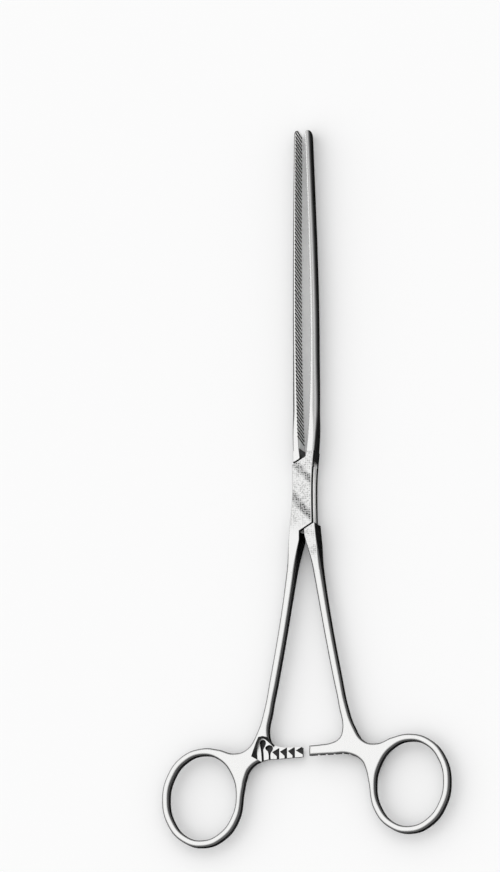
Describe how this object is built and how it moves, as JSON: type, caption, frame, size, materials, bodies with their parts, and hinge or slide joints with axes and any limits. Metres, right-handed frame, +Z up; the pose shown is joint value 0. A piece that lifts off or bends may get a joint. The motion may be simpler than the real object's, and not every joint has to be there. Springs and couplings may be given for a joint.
{
  "type": "intestinal clamp",
  "caption": "Slender box-lock intestinal clamp with long, thin, obliquely serrated jaws, a ratchet between the shanks and oval finger rings.",
  "frame": {"origin": "on the lock pin's axis, in the plane of the box lock's underside, which is the plane that the clamp rests on", "axes": "+Y along the clamp towards the jaw tips, +Z up through the lock pin, +X towards the jaw that is forged with the box; the shanks are parted as far as the picture shows"},
  "size_m": [0.0956, 0.23, 0.0066],
  "materials": {
    "satin_steel": "stainless steel, satin on the jaws, shanks and rings, fine matt stipple on the box plates",
    "pin_steel": "stainless steel pin, ground flush and matted with the plates"
  },
  "bodies": {
    "box_side": {"box_half": "satin_steel", "lock_pin": "pin_steel"},
    "tongue_side": {"tongue_half": "satin_steel"}
  },
  "joints": [
    {"name": "box_lock_hinge", "type": "hinge", "parent": "box_side", "child": "tongue_side", "pos_m": [0, 0, 0.0033], "axis": [0, 0, 1], "range_deg": [-1.3, 50]}
  ]
}
